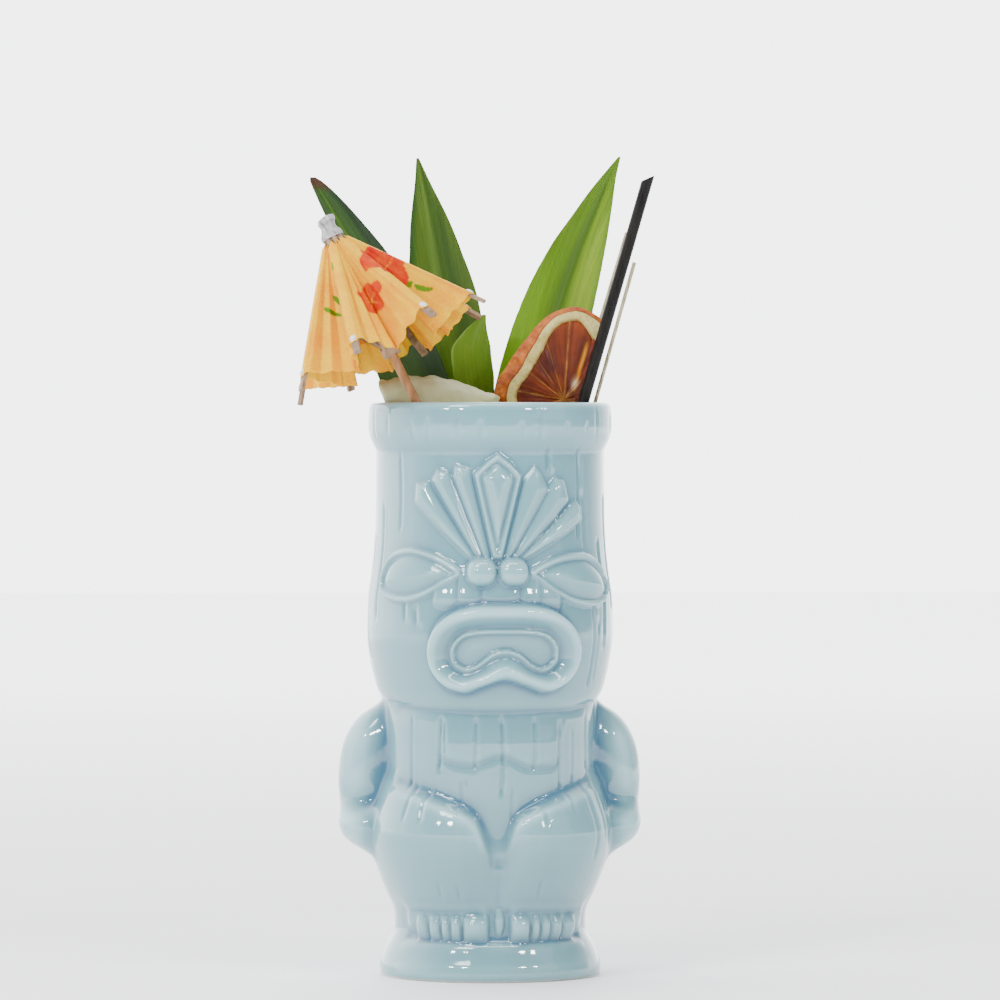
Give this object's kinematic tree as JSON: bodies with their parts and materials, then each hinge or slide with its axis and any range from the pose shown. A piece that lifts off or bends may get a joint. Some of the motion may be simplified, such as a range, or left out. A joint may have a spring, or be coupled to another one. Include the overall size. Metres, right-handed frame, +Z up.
{
  "type": "tiki mug with cocktail garnish",
  "caption": "Ceramic figure mug with crushed ice, pineapple leaves, a dried orange half wheel, a straw, picks and a folding paper umbrella.",
  "frame": {"origin": "centre of the mug's flat foot, on the surface it stands on", "axes": "+Z up along the mug's axis; the figure's face looks along -Y; +X is the viewer's right"},
  "size_m": [0.112, 0.1032, 0.2586],
  "materials": {
    "glaze": "pale blue-grey glossy glaze, lighter where it breaks over edges",
    "ice": "wet crushed ice tinted by the drink",
    "leaf": "fresh pineapple leaf, satin, with lengthwise veins",
    "rind": "dried orange rind, matt and wrinkled",
    "pith": "dried pith, cream",
    "pulp": "dried orange pulp, translucent amber",
    "black_plastic": "black plastic",
    "bamboo": "thin bamboo, uncoated",
    "stick_wood": "pale turned wood",
    "rib_wood": "thin stained bamboo strip",
    "thread": "cotton thread",
    "cap_paper": "crumpled white paper",
    "card": "rolled card",
    "canopy_paper": "orange tissue paper with printed flowers"
  },
  "bodies": {
    "mug": {"mug_body": "glaze"},
    "ice": {"crushed_ice": "ice"},
    "leaf_left": {"leaf_left": "leaf"},
    "leaf_middle": {"leaf_middle": "leaf"},
    "leaf_right": {"leaf_right": "leaf"},
    "leaf_short": {"leaf_short": "leaf"},
    "orange": {"orange_rind": "rind", "orange_pith": "pith", "orange_pulp": "pulp"},
    "straw": {"straw": "black_plastic"},
    "pick_tall": {"pick_tall": "bamboo"},
    "pick_low": {"pick_low": "bamboo"},
    "umbrella": {"umbrella_stick": "stick_wood", "umbrella_crown": "card", "umbrella_crown_thread": "thread", "umbrella_cap": "cap_paper"},
    "runner": {"umbrella_runner": "card", "umbrella_runner_thread": "thread"},
    "rib_1": {"umbrella_rib_1": "rib_wood", "canopy_ridge_1": "canopy_paper"},
    "strut_1": {"umbrella_strut_1": "rib_wood"},
    "fold_1a": {"canopy_fold_1a": "canopy_paper"},
    "fold_1b": {"canopy_fold_1b": "canopy_paper"},
    "rib_2": {"umbrella_rib_2": "rib_wood", "canopy_ridge_2": "canopy_paper"},
    "strut_2": {"umbrella_strut_2": "rib_wood"},
    "fold_2a": {"canopy_fold_2a": "canopy_paper"},
    "fold_2b": {"canopy_fold_2b": "canopy_paper"},
    "rib_3": {"umbrella_rib_3": "rib_wood", "canopy_ridge_3": "canopy_paper"},
    "strut_3": {"umbrella_strut_3": "rib_wood"},
    "fold_3a": {"canopy_fold_3a": "canopy_paper"},
    "fold_3b": {"canopy_fold_3b": "canopy_paper"},
    "rib_4": {"umbrella_rib_4": "rib_wood", "canopy_ridge_4": "canopy_paper"},
    "strut_4": {"umbrella_strut_4": "rib_wood"},
    "fold_4a": {"canopy_fold_4a": "canopy_paper"},
    "fold_4b": {"canopy_fold_4b": "canopy_paper"},
    "rib_5": {"umbrella_rib_5": "rib_wood", "canopy_ridge_5": "canopy_paper"},
    "strut_5": {"umbrella_strut_5": "rib_wood"},
    "fold_5a": {"canopy_fold_5a": "canopy_paper"},
    "fold_5b": {"canopy_fold_5b": "canopy_paper"},
    "rib_6": {"umbrella_rib_6": "rib_wood", "canopy_ridge_6": "canopy_paper"},
    "strut_6": {"umbrella_strut_6": "rib_wood"},
    "fold_6a": {"canopy_fold_6a": "canopy_paper"},
    "fold_6b": {"canopy_fold_6b": "canopy_paper"},
    "rib_7": {"umbrella_rib_7": "rib_wood", "canopy_ridge_7": "canopy_paper"},
    "strut_7": {"umbrella_strut_7": "rib_wood"},
    "fold_7a": {"canopy_fold_7a": "canopy_paper"},
    "fold_7b": {"canopy_fold_7b": "canopy_paper"},
    "rib_8": {"umbrella_rib_8": "rib_wood", "canopy_ridge_8": "canopy_paper"},
    "strut_8": {"umbrella_strut_8": "rib_wood"},
    "fold_8a": {"canopy_fold_8a": "canopy_paper"},
    "fold_8b": {"canopy_fold_8b": "canopy_paper"}
  },
  "joints": [
    {"name": "ice_lift", "type": "slide", "parent": "mug", "child": "ice", "axis": [0, 0, 1], "range_m": [0, 0.08]},
    {"name": "leaf_left_pull", "type": "slide", "parent": "ice", "child": "leaf_left", "axis": [-0.2915, 0.4426, 0.848], "range_m": [0, 0.06]},
    {"name": "leaf_middle_pull", "type": "slide", "parent": "ice", "child": "leaf_middle", "axis": [-0.2441, 0.2408, 0.9394], "range_m": [0, 0.06]},
    {"name": "leaf_right_pull", "type": "slide", "parent": "ice", "child": "leaf_right", "axis": [0.254, 0.2114, 0.9438], "range_m": [0, 0.06]},
    {"name": "leaf_short_pull", "type": "slide", "parent": "ice", "child": "leaf_short", "axis": [-0.1205, 0.239, 0.9635], "range_m": [0, 0.06]},
    {"name": "orange_pull", "type": "slide", "parent": "ice", "child": "orange", "axis": [0.2768, -0.0169, 0.9608], "range_m": [0, 0.04]},
    {"name": "straw_pull", "type": "slide", "parent": "ice", "child": "straw", "axis": [0.2768, -0.0169, 0.9608], "range_m": [0, 0.12]},
    {"name": "pick_tall_pull", "type": "slide", "parent": "ice", "child": "pick_tall", "axis": [0.2885, -0.0176, 0.9573], "range_m": [0, 0.07]},
    {"name": "pick_low_pull", "type": "slide", "parent": "ice", "child": "pick_low", "axis": [0.2701, -0.0165, 0.9627], "range_m": [0, 0.07]},
    {"name": "umbrella_pull", "type": "slide", "parent": "ice", "child": "umbrella", "axis": [-0.4402, 0.1664, 0.8823], "range_m": [0, 0.05]},
    {"name": "runner_slide", "type": "slide", "parent": "umbrella", "child": "runner", "axis": [-0.4402, 0.1664, 0.8823], "range_m": [-0.00607, 0.00607]},
    {"name": "rib_1_swing", "type": "hinge", "parent": "umbrella", "child": "rib_1", "pos_m": [-0.04762, -0.01233, 0.23213], "axis": [-0.3495, -0.9369, 0.0023], "range_deg": [-12.11, 12.11]},
    {"name": "strut_1_swing", "type": "hinge", "parent": "rib_1", "child": "strut_1", "pos_m": [-0.0275, -0.01986, 0.2226], "axis": [0.3495, 0.9369, -0.0023], "range_deg": [-24.23, 24.23]},
    {"name": "fold_1a_hinge", "type": "hinge", "parent": "rib_1", "child": "fold_1a", "pos_m": [-0.04682, -0.01108, 0.23281], "axis": [0.8561, -0.3203, -0.4055], "range_deg": [-16.55, 16.55]},
    {"name": "fold_1b_hinge", "type": "hinge", "parent": "rib_1", "child": "fold_1b", "pos_m": [-0.04784, -0.01379, 0.23282], "axis": [-0.8561, 0.3203, 0.4055], "range_deg": [-16.55, 16.55]},
    {"name": "rib_2_swing", "type": "hinge", "parent": "umbrella", "child": "rib_2", "pos_m": [-0.04879, -0.01371, 0.2318], "axis": [-0.832, -0.4452, -0.3312], "range_deg": [-12.11, 12.11]},
    {"name": "strut_2_swing", "type": "hinge", "parent": "rib_2", "child": "strut_2", "pos_m": [-0.03575, -0.02952, 0.2203], "axis": [0.832, 0.4452, 0.3312], "range_deg": [-24.23, 24.23]},
    {"name": "fold_2a_hinge", "type": "hinge", "parent": "rib_2", "child": "fold_2a", "pos_m": [-0.04759, -0.0135, 0.23289], "axis": [0.5548, -0.6728, -0.4894], "range_deg": [-16.55, 16.55]},
    {"name": "fold_2b_hinge", "type": "hinge", "parent": "rib_2", "child": "fold_2b", "pos_m": [-0.05, -0.01479, 0.23193], "axis": [-0.5548, 0.6728, 0.4894], "range_deg": [-16.55, 16.55]},
    {"name": "rib_3_swing", "type": "hinge", "parent": "umbrella", "child": "rib_3", "pos_m": [-0.05044, -0.01384, 0.23101], "axis": [-0.8271, 0.3074, -0.4706], "range_deg": [-12.11, 12.11]},
    {"name": "strut_3_swing", "type": "hinge", "parent": "rib_3", "child": "strut_3", "pos_m": [-0.04734, -0.03048, 0.2147], "axis": [0.8271, -0.3074, 0.4706], "range_deg": [-24.23, 24.23]},
    {"name": "fold_3a_hinge", "type": "hinge", "parent": "rib_3", "child": "fold_3a", "pos_m": [-0.04965, -0.01476, 0.2321], "axis": [0.1317, -0.7079, -0.6939], "range_deg": [-16.55, 16.55]},
    {"name": "fold_3b_hinge", "type": "hinge", "parent": "rib_3", "child": "fold_3b", "pos_m": [-0.05205, -0.01387, 0.23073], "axis": [-0.1317, 0.7079, 0.6939], "range_deg": [-16.55, 16.55]},
    {"name": "rib_4_swing", "type": "hinge", "parent": "umbrella", "child": "rib_4", "pos_m": [-0.0516, -0.01266, 0.23021], "axis": [-0.3377, 0.8799, -0.3344], "range_deg": [-12.11, 12.11]},
    {"name": "strut_4_swing", "type": "hinge", "parent": "rib_4", "child": "strut_4", "pos_m": [-0.05548, -0.02218, 0.20907], "axis": [0.3377, -0.8799, 0.3344], "range_deg": [-24.23, 24.23]},
    {"name": "fold_4a_hinge", "type": "hinge", "parent": "rib_4", "child": "fold_4a", "pos_m": [-0.0518, -0.01412, 0.2309], "axis": [-0.1653, -0.4052, -0.8992], "range_deg": [-16.55, 16.55]},
    {"name": "fold_4b_hinge", "type": "hinge", "parent": "rib_4", "child": "fold_4b", "pos_m": [-0.05278, -0.01157, 0.22993], "axis": [0.1653, 0.4052, 0.8992], "range_deg": [-16.55, 16.55]},
    {"name": "rib_5_swing", "type": "hinge", "parent": "umbrella", "child": "rib_5", "pos_m": [-0.05159, -0.01086, 0.22987], "axis": [0.3495, 0.9369, -0.0023], "range_deg": [-12.11, 12.11]},
    {"name": "strut_5_swing", "type": "hinge", "parent": "rib_5", "child": "strut_5", "pos_m": [-0.0554, -0.00949, 0.20672], "axis": [-0.3495, -0.9369, 0.0023], "range_deg": [-24.23, 24.23]},
    {"name": "fold_5a_hinge", "type": "hinge", "parent": "rib_5", "child": "fold_5a", "pos_m": [-0.05278, -0.01196, 0.23], "axis": [-0.1623, 0.0581, -0.985], "range_deg": [-16.55, 16.55]},
    {"name": "fold_5b_hinge", "type": "hinge", "parent": "rib_5", "child": "fold_5b", "pos_m": [-0.05177, -0.00924, 0.23], "axis": [0.1623, -0.0581, 0.985], "range_deg": [-16.55, 16.55]},
    {"name": "rib_6_swing", "type": "hinge", "parent": "umbrella", "child": "rib_6", "pos_m": [-0.05041, -0.00948, 0.2302], "axis": [0.832, 0.4452, 0.3312], "range_deg": [-12.11, 12.11]},
    {"name": "strut_6_swing", "type": "hinge", "parent": "rib_6", "child": "strut_6", "pos_m": [-0.04714, 0.00017, 0.20902], "axis": [-0.832, -0.4452, -0.3312], "range_deg": [-24.23, 24.23]},
    {"name": "fold_6a_hinge", "type": "hinge", "parent": "rib_6", "child": "fold_6a", "pos_m": [-0.05202, -0.00953, 0.22993], "axis": [0.139, 0.4106, -0.9012], "range_deg": [-16.55, 16.55]},
    {"name": "fold_6b_hinge", "type": "hinge", "parent": "rib_6", "child": "fold_6b", "pos_m": [-0.04961, -0.00824, 0.23089], "axis": [-0.139, -0.4106, 0.9012], "range_deg": [-16.55, 16.55]},
    {"name": "rib_7_swing", "type": "hinge", "parent": "umbrella", "child": "rib_7", "pos_m": [-0.04876, -0.00934, 0.23099], "axis": [0.8271, -0.3074, 0.4706], "range_deg": [-12.11, 12.11]},
    {"name": "strut_7_swing", "type": "hinge", "parent": "rib_7", "child": "strut_7", "pos_m": [-0.03555, 0.00113, 0.21462], "axis": [-0.8271, 0.3074, -0.4706], "range_deg": [-24.23, 24.23]},
    {"name": "fold_7a_hinge", "type": "hinge", "parent": "rib_7", "child": "fold_7a", "pos_m": [-0.04996, -0.00827, 0.23072], "axis": [0.5621, 0.4457, -0.6967], "range_deg": [-16.55, 16.55]},
    {"name": "fold_7b_hinge", "type": "hinge", "parent": "rib_7", "child": "fold_7b", "pos_m": [-0.04756, -0.00916, 0.23208], "axis": [-0.5621, -0.4457, 0.6967], "range_deg": [-16.55, 16.55]},
    {"name": "rib_8_swing", "type": "hinge", "parent": "umbrella", "child": "rib_8", "pos_m": [-0.0476, -0.01053, 0.23179], "axis": [0.3377, -0.8799, 0.3344], "range_deg": [-12.11, 12.11]},
    {"name": "strut_8_swing", "type": "hinge", "parent": "rib_8", "child": "strut_8", "pos_m": [-0.02741, -0.00717, 0.22025], "axis": [-0.3377, 0.8799, -0.3344], "range_deg": [-24.23, 24.23]},
    {"name": "fold_8a_hinge", "type": "hinge", "parent": "rib_8", "child": "fold_8a", "pos_m": [-0.0478, -0.00891, 0.23191], "axis": [0.8591, 0.143, -0.4914], "range_deg": [-16.55, 16.55]},
    {"name": "fold_8b_hinge", "type": "hinge", "parent": "rib_8", "child": "fold_8b", "pos_m": [-0.04683, -0.01146, 0.23288], "axis": [-0.8591, -0.143, 0.4914], "range_deg": [-16.55, 16.55]}
  ],
  "couplings": [
    {"joint": "rib_1_swing", "follows": "runner_slide", "rad_per_m": 34.483},
    {"joint": "strut_1_swing", "follows": "runner_slide", "rad_per_m": 68.966},
    {"joint": "fold_1a_hinge", "follows": "runner_slide", "rad_per_m": 46.897},
    {"joint": "fold_1b_hinge", "follows": "runner_slide", "rad_per_m": 46.897},
    {"joint": "rib_2_swing", "follows": "runner_slide", "rad_per_m": 34.483},
    {"joint": "strut_2_swing", "follows": "runner_slide", "rad_per_m": 68.966},
    {"joint": "fold_2a_hinge", "follows": "runner_slide", "rad_per_m": 46.897},
    {"joint": "fold_2b_hinge", "follows": "runner_slide", "rad_per_m": 46.897},
    {"joint": "rib_3_swing", "follows": "runner_slide", "rad_per_m": 34.483},
    {"joint": "strut_3_swing", "follows": "runner_slide", "rad_per_m": 68.966},
    {"joint": "fold_3a_hinge", "follows": "runner_slide", "rad_per_m": 46.897},
    {"joint": "fold_3b_hinge", "follows": "runner_slide", "rad_per_m": 46.897},
    {"joint": "rib_4_swing", "follows": "runner_slide", "rad_per_m": 34.483},
    {"joint": "strut_4_swing", "follows": "runner_slide", "rad_per_m": 68.966},
    {"joint": "fold_4a_hinge", "follows": "runner_slide", "rad_per_m": 46.897},
    {"joint": "fold_4b_hinge", "follows": "runner_slide", "rad_per_m": 46.897},
    {"joint": "rib_5_swing", "follows": "runner_slide", "rad_per_m": 34.483},
    {"joint": "strut_5_swing", "follows": "runner_slide", "rad_per_m": 68.966},
    {"joint": "fold_5a_hinge", "follows": "runner_slide", "rad_per_m": 46.897},
    {"joint": "fold_5b_hinge", "follows": "runner_slide", "rad_per_m": 46.897},
    {"joint": "rib_6_swing", "follows": "runner_slide", "rad_per_m": 34.483},
    {"joint": "strut_6_swing", "follows": "runner_slide", "rad_per_m": 68.966},
    {"joint": "fold_6a_hinge", "follows": "runner_slide", "rad_per_m": 46.897},
    {"joint": "fold_6b_hinge", "follows": "runner_slide", "rad_per_m": 46.897},
    {"joint": "rib_7_swing", "follows": "runner_slide", "rad_per_m": 34.483},
    {"joint": "strut_7_swing", "follows": "runner_slide", "rad_per_m": 68.966},
    {"joint": "fold_7a_hinge", "follows": "runner_slide", "rad_per_m": 46.897},
    {"joint": "fold_7b_hinge", "follows": "runner_slide", "rad_per_m": 46.897},
    {"joint": "rib_8_swing", "follows": "runner_slide", "rad_per_m": 34.483},
    {"joint": "strut_8_swing", "follows": "runner_slide", "rad_per_m": 68.966},
    {"joint": "fold_8a_hinge", "follows": "runner_slide", "rad_per_m": 46.897},
    {"joint": "fold_8b_hinge", "follows": "runner_slide", "rad_per_m": 46.897}
  ]
}
